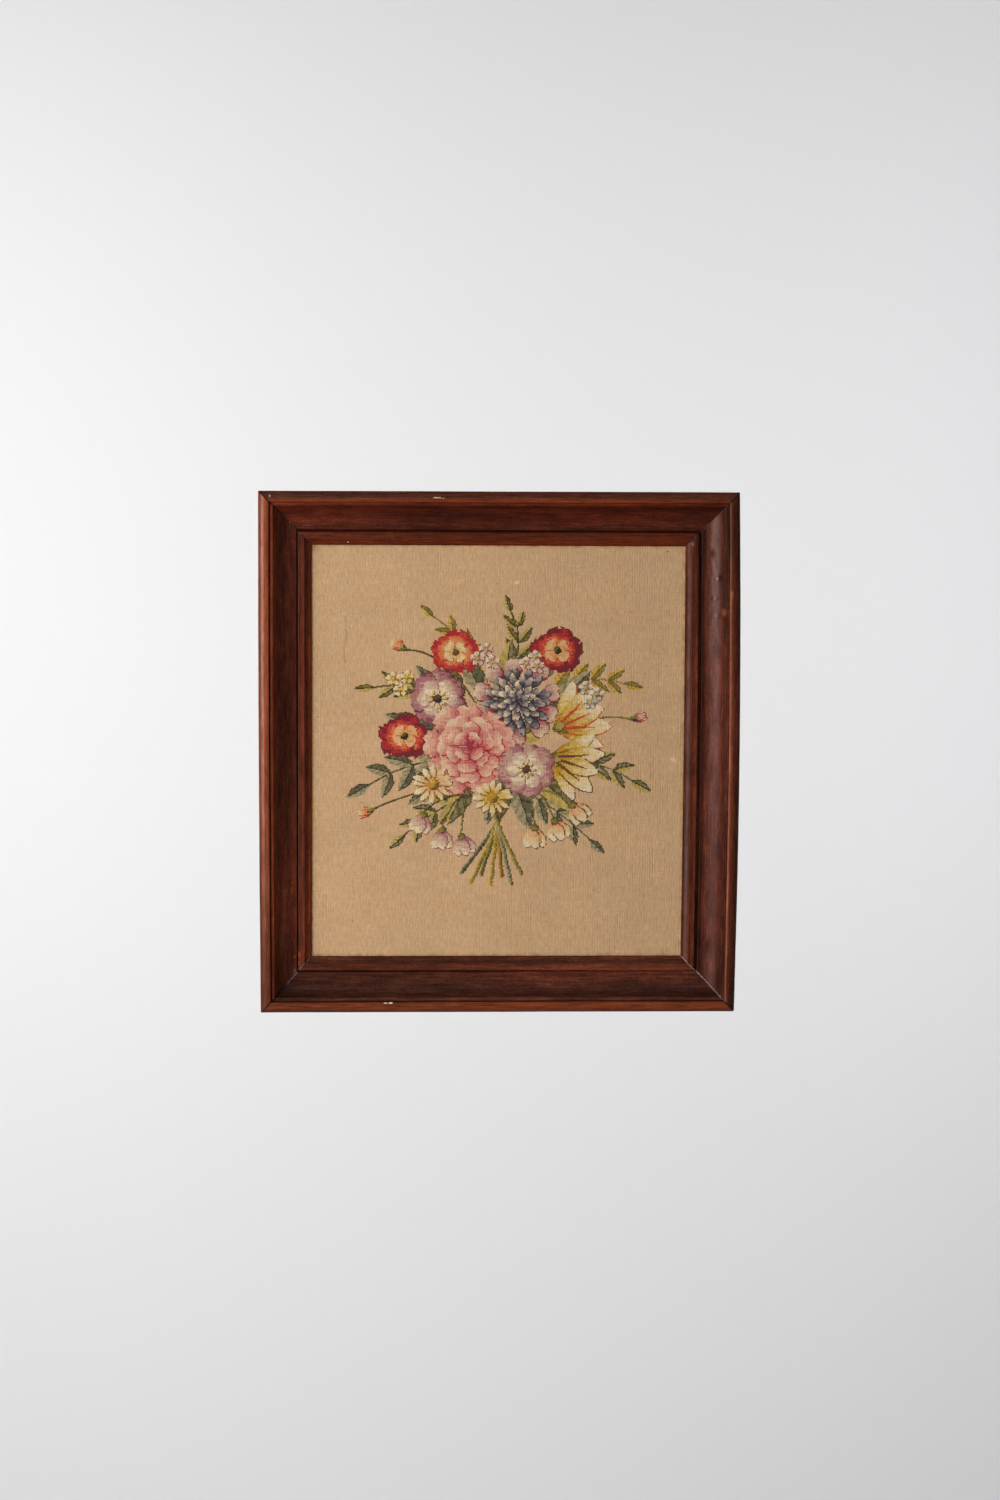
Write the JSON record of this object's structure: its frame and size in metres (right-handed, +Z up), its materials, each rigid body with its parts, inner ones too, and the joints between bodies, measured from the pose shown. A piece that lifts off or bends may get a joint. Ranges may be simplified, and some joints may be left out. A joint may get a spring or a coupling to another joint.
{
  "type": "woven tapestry in a moulded wooden frame",
  "caption": "Small ribbed wool tapestry with a woven posy, held behind an inner slip in a mitred stained-wood moulding, to hang on a wall.",
  "frame": {"origin": "on the flat back of the top rail, half way along it, 14 mm below the top edge", "axes": "+Z up the frame, +Y back towards the wall, +X to the right seen from the front"},
  "size_m": [0.432, 0.028, 0.469],
  "materials": {
    "stained_rail": "dark red-brown stained hardwood, satin lacquer, worn lighter on the raised edges",
    "stained_slip": "dark red-brown stained hardwood, satin lacquer",
    "woven_wool": "matt weft-faced wool, ribbed up and down, camel ground with a many-coloured woven posy"
  },
  "bodies": {
    "root": {"rail_top": "stained_rail", "rail_bottom": "stained_rail", "rail_left": "stained_rail", "rail_right": "stained_rail", "slip_top": "stained_slip", "slip_bottom": "stained_slip", "slip_left": "stained_slip", "slip_right": "stained_slip", "tapestry": "woven_wool"}
  },
  "joints": []
}
